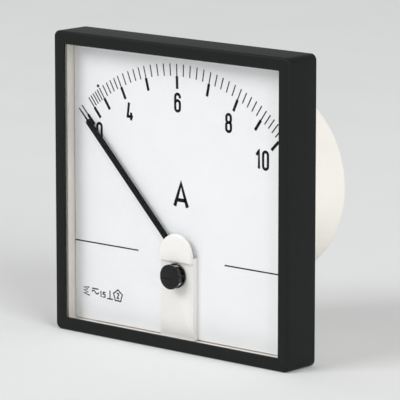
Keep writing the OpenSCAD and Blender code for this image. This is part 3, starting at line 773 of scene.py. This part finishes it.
class TickSet:
    """A Geometry Nodes tree that sets a thin bar at each point, turned and sized by the point."""

    def __init__(self) -> None:
        """Builds the tree with its named inputs."""
        kinds = {"Places": "Geometry", "Ink": "Material"}
        tree, given, self.keys = start_tree("printed_bars", kinds)
        self.tree = tree
        turn = put(tree, "GeometryNodeInputNamedAttribute", {"Name": "turn"}, data_type="FLOAT")
        size = put(
            tree, "GeometryNodeInputNamedAttribute", {"Name": "size"}, data_type="FLOAT_VECTOR"
        )
        angle = put(tree, "ShaderNodeCombineXYZ", links={"Y": turn.outputs["Attribute"]})
        bar = put(tree, "GeometryNodeMeshCube", {"Size": (1.0, 1.0, 1.0)})
        placed = put(
            tree,
            "GeometryNodeInstanceOnPoints",
            links={
                "Points": given.outputs["Places"],
                "Instance": bar.outputs["Mesh"],
                "Rotation": angle.outputs["Vector"],
                "Scale": size.outputs["Attribute"],
            },
        )
        end_tree(tree, placed.outputs["Instances"], given.outputs["Ink"])

    def draw(
        self, name: str, bars: Sequence[Bar], y: float, depth: float, ink: bpy.types.Material
    ) -> bpy.types.Object:
        """Draws the bars as one plain mesh.

        Args:
            name: name of the result.
            bars: the bars, in mm.
            y: middle of the ink's thickness, in mm.
            depth: the ink's thickness, in mm.
            ink: the material.

        Returns:
            The bars as one plain object.
        """
        data = bpy.data.meshes.new(name)
        data.from_pydata([Vector((bar.x, y, bar.z)) * MM for bar in bars], [], [])
        turns = data.attributes.new("turn", "FLOAT", "POINT")
        sizes = data.attributes.new("size", "FLOAT_VECTOR", "POINT")
        for i, bar in enumerate(bars):
            turns.data[i].value = bar.turn
            sizes.data[i].vector = Vector((bar.width, depth, bar.length)) * MM
        obj = bpy.data.objects.new(name, data)
        bpy.context.scene.collection.objects.link(obj)
        modifier = obj.modifiers.new("bars", "NODES")
        modifier.node_group = self.tree
        modifier[self.keys["Ink"]] = ink
        return baked(obj, name)


# ---------------------------------------------------------------------------------------------
# Lettering: strokes of one width, as a lettering stencil draws them
# ---------------------------------------------------------------------------------------------


# How far a blunt stroke's end bulges, as a share of its width, and how much it narrows there.
BLUNT_REACH = 0.12
BLUNT_TAPER = 0.25
# Places along a stroke's rounded end.
END_STEPS = (0.5, 0.85, 1.0)
# How near to a point a round end comes.
ROUND_SHARE = 0.98
# The longest mitre at a bend, against the stroke's width.
MITRE_LIMIT = 1.8


@dataclass(frozen=True)
class Stroke:
    """A centre line in mm with one width, open or closed."""

    points: tuple[Point, ...]
    width: float
    closed: bool = False
    blunt: bool = True


def arc(centre: Point, radii: Point, start: float, end: float, steps: int = 12) -> list[Point]:
    """Points along an elliptic arc.

    Args:
        centre: x and z of its centre.
        radii: half width and half height.
        start: first angle in degrees, from +X towards +Z.
        end: last angle in degrees.
        steps: segments along the arc.

    Returns:
        The points, both ends included.
    """
    angles = (math.radians(start + (end - start) * i / steps) for i in range(steps + 1))
    x, z = centre
    return [(x + radii[0] * math.cos(a), z + radii[1] * math.sin(a)) for a in angles]


def ribbon(mesh: bmesh.types.BMesh, stroke: Stroke, front: float, back: float) -> None:
    """Adds one stroke as a thin closed solid.

    Args:
        mesh: the mesh that gets it.
        stroke: the centre line and its width.
        front: y of the printed face, in mm.
        back: y of its underside, in mm.
    """
    points = [Vector(p) for p in stroke.points]
    halves = [stroke.width / 2] * len(points)
    if not stroke.closed:
        reach = stroke.width * (BLUNT_REACH if stroke.blunt else 0.5)
        for at_end in (False, True):
            tip, inner = (points[-1], points[-2]) if at_end else (points[0], points[1])
            way = (tip - inner).normalized()
            for part in END_STEPS:
                if stroke.blunt:
                    half = stroke.width / 2 * (1 - BLUNT_TAPER * part)
                else:
                    half = stroke.width / 2 * math.sqrt(1 - (part * ROUND_SHARE) ** 2)
                extra = tip + way * reach * part
                points.insert(len(points) if at_end else 0, extra)
                halves.insert(len(halves) if at_end else 0, half)
    count = len(points)
    sides = []
    for i, point in enumerate(points):
        first = point - points[i - 1] if i or stroke.closed else None
        second = points[(i + 1) % count] - point if i < count - 1 or stroke.closed else None
        first, second = ((way or first or second).normalized() for way in (first, second))
        way = (first + second).normalized()
        mitre = 1 / max(1 / MITRE_LIMIT, way.dot(first))
        across = Vector((-way.y, way.x)) * halves[i] * mitre
        sides.append((point + across, point - across))

    def vertex(place: Vector, y: float) -> bmesh.types.BMVert:
        """A vertex on the dial.

        Args:
            place: its x and z, in mm.
            y: its depth, in mm.

        Returns:
            The vertex.
        """
        return mesh.verts.new((place.x * MM, y * MM, place.y * MM))

    rails = [
        (vertex(a, front), vertex(b, front), vertex(b, back), vertex(a, back)) for a, b in sides
    ]
    steps = count if stroke.closed else count - 1
    for i in range(steps):
        near, far = rails[i], rails[(i + 1) % count]
        for k in range(4):
            mesh.faces.new((near[k], near[(k + 1) % 4], far[(k + 1) % 4], far[k]))
    if not stroke.closed:
        mesh.faces.new(rails[0][::-1])
        mesh.faces.new(rails[-1])


@dataclass
class Glyphs:
    """Condensed upright figures drawn in a box from (0, 0) to (1, 1) by their centre lines."""

    width: float = 1.9
    height: float = 5.35
    weight: float = 0.9

    def _scaled(
        self, corner: Point, paths: Iterable[tuple[Sequence[Point], bool]]
    ) -> list[Stroke]:
        """Sets unit paths at a place on the dial.

        Args:
            corner: lower left of the figure's centre lines, in mm.
            paths: each path in the unit box, and whether it is closed.

        Returns:
            The strokes.
        """
        return [
            Stroke(
                tuple((corner[0] + x * self.width, corner[1] + z * self.height) for x, z in path),
                self.weight,
                closed,
            )
            for path, closed in paths
        ]

    def figure(self, sign: str, corner: Point) -> list[Stroke]:
        """Strokes of one figure.

        Args:
            sign: one of 0 1 4 6 8.
            corner: lower left of its centre lines, in mm.

        Returns:
            The figure's strokes.
        """
        bow = self.width / 2 / self.height
        top, foot = 1 - bow, bow
        waist, narrow = 0.53, 0.47
        small = bow * 0.8
        bowl = 0.62 - bow
        shapes = {
            "0": [
                (arc((0.5, top), (0.5, bow), 0, 180) + arc((0.5, foot), (0.5, bow), 180, 360), True)
            ],
            "1": [([(0.0, 0.76), (0.42, 0.97), (0.5, 1.0), (0.5, 0.0)], False)],
            "4": [
                ([(0.3, 1.0), (0.0, 0.2), (1.1, 0.2)], False),
                ([(0.78, 0.42), (0.78, 0.0)], False),
            ],
            "6": [
                (
                    arc((0.5, foot), (0.5, bow), 0, -180)
                    + arc((0.5, top), (0.5, bow), 180, 0)
                    + [(1.0, 0.78)],
                    False,
                ),
                (arc((0.5, bowl), (0.5, bow), 180, 0) + [(1.0, bow)], False),
            ],
            "8": [
                (
                    arc((0.5, top), (narrow, bow), 0, 180)
                    + arc((0.5, waist + small), (narrow, small), 180, 360),
                    True,
                ),
                (
                    arc((0.5, waist - small), (0.5, small), 0, 180)
                    + arc((0.5, foot), (0.5, bow), 180, 360),
                    True,
                ),
            ],
        }
        return self._scaled(corner, shapes[sign])


@dataclass
class Lettering:
    """Printed figures, unit sign and usual dial symbols, raised by the ink's thickness."""

    ink_mm: float = 0.03
    glyphs: Glyphs = field(default_factory=Glyphs)
    figures: tuple[tuple[str, Point], ...] = (
        ("0", (-35.1, 13.65)),
        ("4", (-22.15, 21.45)),
        ("6", (-2.35, 26.3)),
        ("8", (18.35, 22.15)),
        ("1", (30.45, 12.25)),
        ("0", (33.05, 12.2)),
    )
    unit_foot: float = -3.4
    unit_rise: float = 7.15
    unit_half: float = 2.55
    unit_bar: float = 0.27
    unit_weight: float = 1.3
    symbol_weight: float = 0.4
    dot_width: float = 0.95

    def unit_strokes(self) -> list[Stroke]:
        """The capital letter A of the unit, in the middle of the dial."""
        top = self.unit_foot + self.unit_rise
        bar = self.unit_foot + self.unit_rise * self.unit_bar
        reach = self.unit_half * (1 - self.unit_bar)
        return [
            Stroke(
                ((-self.unit_half, self.unit_foot), (0.0, top), (self.unit_half, self.unit_foot)),
                self.unit_weight,
            ),
            Stroke(((-reach, bar), (reach, bar)), self.unit_weight * 0.9),
        ]

    def symbol_strokes(self) -> list[Stroke]:
        """The small signs at the dial's foot, and the round dot over its 0."""
        thin = self.symbol_weight
        coil = (
            (-38.9, -34.4),
            (-41.2, -34.6),
            (-39.5, -35.1),
            (-41.2, -35.55),
            (-39.5, -36.0),
            (-41.2, -36.5),
            (-38.8, -37.0),
        )
        wave = tuple(
            (-37.8 + 3.0 * t / 12, -35.65 + 0.5 * math.sin(2 * math.pi * t / 12)) for t in range(13)
        )
        five = (
            (-31.95, -35.2),
            (-32.9, -35.2),
            (-32.95, -35.85),
            (-32.3, -35.8),
            (-32.0, -36.2),
            (-32.2, -36.7),
            (-32.95, -36.8),
        )
        x, z, point_reach, notch_reach = -26.6, -35.55, 2.0, 1.55
        star = []
        for i in range(10):
            angle = math.radians(90 + 36 * i)
            reach = notch_reach if i % 2 else point_reach
            star.append((x + reach * math.cos(angle), z + reach * math.sin(angle)))
        two = arc((-26.6, -35.05), (0.38, 0.38), 160, -20, 6) + [(-27.0, -36.3), (-26.15, -36.3)]
        return [
            Stroke(coil, thin),
            Stroke(((-37.7, -34.55), (-35.0, -34.55)), thin),
            Stroke(wave, thin),
            Stroke(((-34.15, -35.4), (-33.85, -35.15), (-33.85, -36.8)), thin),
            Stroke(((-33.42, -36.85), (-33.36, -36.7)), thin * 1.1),
            Stroke(five, thin),
            Stroke(((-30.0, -34.3), (-30.0, -37.0)), thin),
            Stroke(((-31.2, -37.0), (-28.8, -37.0)), thin),
            Stroke(tuple(star), thin, True),
            Stroke(((-34.67, 30.85), (-34.63, 30.85)), self.dot_width, blunt=False),
            Stroke(tuple(two), thin),
        ]

    def build(self, finisher: Finisher) -> bpy.types.Object:
        """Prints everything on the dial's face as one ink piece.

        Args:
            finisher: holds the materials.

        Returns:
            The piece.
        """
        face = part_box("dial_plate")[0].y / MM
        mesh = bmesh.new()
        strokes = [s for sign, corner in self.figures for s in self.glyphs.figure(sign, corner)]
        for stroke in strokes + self.unit_strokes() + self.symbol_strokes():
            ribbon(mesh, stroke, face - self.ink_mm, face)
        piece = mesh_object("dial_lettering", mesh, smooth_below=60)
        finisher.dress(piece, "dial_ink")
        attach(piece, Body.CASE.value)
        return piece


# ---------------------------------------------------------------------------------------------
# Sub-assemblies
# ---------------------------------------------------------------------------------------------


@dataclass
class Scale:
    """The printed scale: numbered ticks, fine ticks and the two base lines."""

    marks: tuple[float, ...] = (-44.4, -40.5, -35.0, -26.4, -15.0, -1.7, 11.8, 24.2, 35.2, 44.6)
    first_divided: int = 1
    between: int = 4
    fine_length: float = 3.8
    fine_width: float = 0.4
    bold_length: float = 4.0
    bold_width: float = 0.98
    base_start: float = 17.8
    base_drop: float = 1.35
    base_width: float = 0.42
    ink: float = 0.03

    def _radial(
        self, pivot: float, angle: float, reach: float, length: float, width: float
    ) -> Bar:
        """A bar that points at the pivot, from a reach inwards.

        Args:
            pivot: height of the pivot, in mm.
            angle: clockwise from upright, in degrees.
            reach: distance of the outer end from the pivot, in mm.
            length: the bar's length, in mm.
            width: the bar's width, in mm.

        Returns:
            The bar.
        """
        turn = math.radians(angle)
        middle = reach - length / 2
        return Bar(middle * math.sin(turn), pivot + middle * math.cos(turn), width, length, turn)

    def build(self, ticks: TickSet, finisher: Finisher) -> bpy.types.Object:
        """Prints the scale on the dial's face.

        Args:
            ticks: the tree that draws the bars.
            finisher: holds the materials.

        Returns:
            The piece.
        """
        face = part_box("dial_plate")[0].y / MM
        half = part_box("dial_plate")[1].x / MM
        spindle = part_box("spindle")
        pivot = (spindle[0].z + spindle[1].z) / 2 / MM
        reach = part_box("dial_scale")[1].z / MM - pivot
        bars = []
        for angle in self.marks:
            bars.append(self._radial(pivot, angle, reach, self.fine_length, self.fine_width))
            bars.append(
                self._radial(
                    pivot, angle, reach - self.fine_length, self.bold_length, self.bold_width
                )
            )
        divided = self.marks[self.first_divided :]
        for start, end in zip(divided, divided[1:]):
            for k in range(1, self.between + 1):
                angle = start + (end - start) * k / (self.between + 1)
                bars.append(self._radial(pivot, angle, reach, self.fine_length, self.fine_width))
        length = half - self.base_start
        for side in (-1, 1):
            bars.append(
                Bar(
                    side * (self.base_start + length / 2),
                    pivot - self.base_drop + self.base_width / 2,
                    length,
                    self.base_width,
                    0.0,
                )
            )
        ink = finisher.materials["dial_ink"]
        piece = ticks.draw("printed_scale", bars, face - self.ink / 2, self.ink, ink)
        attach(piece, Body.CASE.value)
        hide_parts("dial_scale")
        return piece


@dataclass
class Bezel:
    """The snap-on square front frame with its rolled-over edges."""

    wall: float = 1.4
    rim: float = 4.1
    lip: float = 0.8
    corner: float = 2.0
    front_edge: float = 0.75
    inner_edge: float = 0.25
    back_edge: float = 0.15
    least_corner: float = 0.3
    corner_steps: int = 8
    edge_steps: int = 5

    def section(self, front: float, back: float) -> list[Point]:
        """Closed section of the frame.

        Args:
            front: y of the front face, in mm.
            back: y of the rear edge, in mm.

        Returns:
            Inset from the outside and y of each point, in mm.
        """
        points: list[Point] = [(0.0, back - self.back_edge), (0.0, front + self.front_edge)]
        for i in range(1, self.edge_steps + 1):
            angle = i / self.edge_steps * math.pi / 2
            points.append(
                (
                    self.front_edge * (1 - math.cos(angle)),
                    front + self.front_edge * (1 - math.sin(angle)),
                )
            )
        for i in range(self.edge_steps + 1):
            angle = i / self.edge_steps * math.pi / 2
            points.append(
                (
                    self.rim - self.inner_edge * (1 - math.sin(angle)),
                    front + self.inner_edge * (1 - math.cos(angle)),
                )
            )
        points += [
            (self.rim, front + self.lip),
            (self.wall, front + self.lip),
            (self.wall, back),
            (self.back_edge, back),
        ]
        return points

    def build(self, finisher: Finisher) -> bpy.types.Object:
        """Sweeps the section round the square and puts the frame in place.

        Args:
            finisher: holds the materials.

        Returns:
            The piece.
        """
        low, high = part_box("bezel_frame")
        half = high.x / MM
        rings = []
        for inset, y in self.section(low.y / MM, high.y / MM):
            radius = max(self.least_corner, self.corner - inset)
            rings.append(square_ring(half - inset, radius, y, self.corner_steps))
        piece = mesh_object("bezel_moulding", loft(rings), smooth_below=30)
        finisher.dress(piece, "bezel_plastic")
        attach(piece, Body.CASE.value)
        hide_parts("bezel_frame")
        return piece


@dataclass
class SoftEdged:
    """A moulding that keeps its node's shape and gets the edge radius of the real piece."""

    node: str
    name: str
    edge: float
    slot: str
    body: Body = Body.CASE

    def build(self, finisher: Finisher) -> bpy.types.Object:
        """Makes the rounded copy and lets it stand for its node.

        Args:
            finisher: holds the materials.

        Returns:
            The piece.
        """
        piece = softened(self.node, self.name, self.edge)
        finisher.dress(piece, self.slot)
        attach(piece, self.body.value)
        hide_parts(self.node)
        return piece


@dataclass
class Terminals:
    """The two threaded studs on the back with their nuts and washers."""

    pitch: float = 26.0
    rise: float = 8.0
    thread_radius: float = 2.5
    thread_pitch: float = 0.8
    thread_depth: float = 0.45
    crest_share: float = 0.1
    tip_length: float = 0.6
    tip_taper: float = 0.9
    head_radius: float = 4.375
    head_height: float = 2.5
    nut_chamfer: float = 0.35
    nut_face_setback: float = 0.05
    washer_edge: float = 0.12
    washer_play: float = 0.02
    sides: int = 40
    ring_sides: int = 48
    rows_per_turn: int = 10

    def _place(
        self,
        obj: bpy.types.Object,
        copies: Copies,
        name: str,
        slot: str,
        finisher: Finisher,
        node: str,
    ) -> bpy.types.Object:
        """Sets a base piece at both terminals and lets it stand for a frame node.

        Args:
            obj: the base piece, modelled about the Y axis.
            copies: the tree that repeats it.
            name: name of the result.
            slot: the record's material slot.
            finisher: holds the materials.
            node: the frame node that it stands for.

        Returns:
            Both copies as one piece.
        """
        first = Vector((-self.pitch / 2, 0, self.rise)) * MM
        step = Vector((self.pitch, 0, 0)) * MM
        piece = copies.spread(obj, name, 2, first, step, finisher.materials[slot])
        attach(piece, Body.CASE.value)
        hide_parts(node)
        return piece

    def stud(self, start: float, end: float) -> bpy.types.Object:
        """A stud with a helical thread, a tapered tip and a hexagon head inside the case.

        Args:
            start: y of the head's rear face, where the thread starts, in mm.
            end: y of the tip, in mm.

        Returns:
            The stud about the Y axis.
        """
        rows = round((end - start) / self.thread_pitch * self.rows_per_turn)

        def ripple(angle: float, y: float) -> float:
            """Change of radius that the thread's groove makes.

            Args:
                angle: angle about the axis, in radians.
                y: place along the stud, in mm.

            Returns:
                The change, zero or less, in mm.
            """
            turn = ((end - y) / self.thread_pitch + angle / (2 * math.pi)) % 1.0
            groove = abs(2 * turn - 1)
            crest = self.crest_share
            return -self.thread_depth * max(0.0, groove - crest) / (1 - crest)

        rings = []
        for i in range(rows + 1):
            y = start + (end - start) * i / rows
            taper = max(0.0, y - (end - self.tip_length)) * self.tip_taper
            radius = self.thread_radius - taper
            rings.append(round_ring(radius, y, self.sides, lambda a: radius + ripple(a, y)))
        mesh = loft(rings, closed_section=False)
        head = [round_ring(self.head_radius, y, 6) for y in (start - self.head_height, start)]
        loft(head, closed_section=False, mesh=mesh)
        return mesh_object("stud_base", mesh, smooth_below=50)

    def nut(self, start: float, end: float, radius: float) -> bpy.types.Object:
        """A hexagon nut with the round chamfers of its turned blank.

        Args:
            start: y of its front face, in mm.
            end: y of its rear face, in mm.
            radius: reach of its corners, in mm.

        Returns:
            The nut about the Y axis.
        """
        flat = radius * math.cos(math.pi / 6)
        bore = self.thread_radius - self.thread_depth
        face = flat - self.nut_face_setback
        rings = []
        for reach, y in (
            (bore, start),
            (face, start),
            (radius, start + self.nut_chamfer),
            (radius, end - self.nut_chamfer),
            (face, end),
            (bore, end),
        ):
            ring = []
            for i in range(self.ring_sides):
                angle = 2 * math.pi * i / self.ring_sides
                folded = (angle + math.pi / 6) % (math.pi / 3) - math.pi / 6
                own = min(reach, flat / math.cos(folded))
                ring.append(Vector((own * math.sin(angle), y, own * math.cos(angle))) * MM)
            rings.append(ring)
        return mesh_object("nut_base", loft(rings), smooth_below=25)

    def washer(self, start: float, end: float, radius: float) -> bpy.types.Object:
        """A plain washer with a small bevel on its edges.

        Args:
            start: y of its front face, in mm.
            end: y of its rear face, in mm.
            radius: outer radius, in mm.

        Returns:
            The washer about the Y axis.
        """
        edge = self.washer_edge
        bore = self.thread_radius + self.washer_play
        section = (
            (bore, start + edge),
            (bore + edge, start),
            (radius - edge, start),
            (radius, start + edge),
            (radius, end - edge),
            (radius - edge, end),
            (bore + edge, end),
            (bore, end - edge),
        )
        rings = [round_ring(reach, y, self.ring_sides) for reach, y in section]
        return mesh_object("washer_base", loft(rings), smooth_below=30)

    def build(self, copies: Copies, finisher: Finisher) -> list[bpy.types.Object]:
        """Builds studs, nuts and washers and puts them in place.

        Args:
            copies: the tree that repeats a piece at both terminals.
            finisher: holds the materials.

        Returns:
            The five pieces.
        """
        pieces = []
        low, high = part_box("terminal_studs")
        base = self.stud(low.y / MM + self.head_height, high.y / MM)
        pieces.append(
            self._place(base, copies, "threaded_studs", "brass", finisher, "terminal_studs")
        )
        for node, name in (("terminal_nuts", "fixing_nuts"), ("wire_nuts", "clamping_nuts")):
            low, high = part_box(node)
            across = max(high.z - low.z, high.x - low.x - self.pitch * MM)
            radius = across / MM / 2
            base = self.nut(low.y / MM, high.y / MM, radius)
            pieces.append(self._place(base, copies, name, "brass", finisher, node))
        for node, name in (("terminal_washers", "seat_washers"), ("wire_washers", "clamp_washers")):
            low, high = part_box(node)
            radius = (high.z - low.z) / MM / 2
            base = self.washer(low.y / MM, high.y / MM, radius)
            pieces.append(self._place(base, copies, name, "zinc_steel", finisher, node))
        return pieces


@dataclass
class Studio:
    """Pale floor, soft lamps, world and camera."""

    aim: tuple[float, float, float] = (12.97, -13.0, 1.05)
    yaw: float = 40.97
    pitch: float = 10.61
    distance: float = 1050.0
    lens: float = 309.24
    floor_side: float = 6000.0
    floor_gap: float = 0.05

    def camera(self) -> None:
        """Sets the camera at its viewing angle."""
        yaw, pitch = math.radians(self.yaw), math.radians(self.pitch)
        way = Vector(
            (-math.sin(yaw) * math.cos(pitch), math.cos(yaw) * math.cos(pitch), -math.sin(pitch))
        )
        data = bpy.data.cameras.new("camera")
        data.lens = self.lens
        data.sensor_width = 36.0
        data.clip_start = 0.01
        data.clip_end = 100.0
        obj = bpy.data.objects.new("camera", data)
        obj.location = (Vector(self.aim) - way * self.distance) * MM
        obj.rotation_euler = way.to_track_quat("-Z", "Y").to_euler()
        bpy.context.scene.collection.objects.link(obj)
        bpy.context.scene.camera = obj

    def lamp(self, name: str, place: Place, size: float, power: float, tone: str) -> None:
        """Adds one square soft box that faces the meter.

        Args:
            name: the lamp's name.
            place: its centre, in metres.
            size: its side, in metres.
            power: watts.
            tone: sRGB hex colour.
        """
        data = bpy.data.lights.new(name, "AREA")
        data.size = size
        data.energy = power
        data.color = linear(tone)[:3]
        obj = bpy.data.objects.new(name, data)
        obj.location = place
        obj.rotation_euler = (-Vector(place)).to_track_quat("-Z", "Y").to_euler()
        bpy.context.scene.collection.objects.link(obj)

    def floor(self) -> None:
        """Lays the pale floor just under the meter, with a faint unevenness."""
        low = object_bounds()[0]
        size = self.floor_side * MM / 2
        mesh = bmesh.new()
        corners = [(-size, -size), (size, -size), (size, size), (-size, size)]
        level = low[2] - self.floor_gap * MM
        mesh.faces.new([mesh.verts.new((x, y, level)) for x, y in corners])
        obj = mesh_object("floor", mesh)
        material, tree = new_material("pale_paper_sweep")
        place = put(tree, "ShaderNodeTexCoord").outputs["Object"]
        pale = linear("e9e9e8")
        cloud = noise(tree, place, 60.0)
        shader = put(
            tree,
            "ShaderNodeBsdfPrincipled",
            {"Roughness": 0.9, "Specular IOR Level": 0.1},
            {"Base Color": tint(tree, cloud, shade(pale, 0.99), shade(pale, 1.01))},
        )
        put(tree, "ShaderNodeOutputMaterial", links={"Surface": shader.outputs["BSDF"]})
        obj.data.materials.append(material)
        obj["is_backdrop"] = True

    def world(self) -> None:
        """Even pale surroundings."""
        made = bpy.data.worlds.new("studio")
        made.use_nodes = True
        tree = made.node_tree
        tree.nodes.clear()
        lit = put(tree, "ShaderNodeBackground", {"Color": linear("f6f7f8"), "Strength": 0.52})
        seen = put(tree, "ShaderNodeBackground", {"Color": linear("f1f1f0"), "Strength": 1.0})
        shown = put(tree, "ShaderNodeLightPath").outputs["Is Camera Ray"]
        mixed = put(
            tree,
            "ShaderNodeMixShader",
            links={0: shown, 1: lit.outputs["Background"], 2: seen.outputs["Background"]},
        )
        put(tree, "ShaderNodeOutputWorld", links={"Surface": mixed.outputs["Shader"]})
        bpy.context.scene.world = made

    def build(self) -> None:
        """Sets up the whole studio."""
        self.camera()
        self.floor()
        self.world()
        self.lamp("key_box", (-1.3, -2.9, 2.5), 2.2, 76.0, "fefeff")
        self.lamp("side_box", (3.2, -1.2, 1.5), 2.0, 78.0, "fbfcff")
        bpy.context.scene.view_settings.view_transform = "Standard"


def main() -> None:
    """Builds the studio and the dressed meter, and reports each piece."""
    logging.basicConfig(level=logging.INFO, format="%(name)s: %(message)s")
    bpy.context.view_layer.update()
    finisher = Finisher()
    finisher.dress_frame()
    Studio().build()
    mouldings = (
        SoftEdged("hub_cover", "hub_hood", 0.35, "cover_plastic"),
        SoftEdged("zero_adjuster", "adjuster_knob", 0.22, "knob_plastic", Body.ADJUSTER),
        SoftEdged("meter_case", "case_moulding", 0.3, "ivory_plastic"),
    )
    pieces = [
        Scale().build(TickSet(), finisher),
        Bezel().build(finisher),
        *(moulding.build(finisher) for moulding in mouldings),
        Lettering().build(finisher),
        *Terminals().build(Copies(), finisher),
    ]
    for piece in pieces:
        LOG.info("%s: %d faces", piece.name, len(piece.data.polygons))


if __name__ == "__main__":
    main()
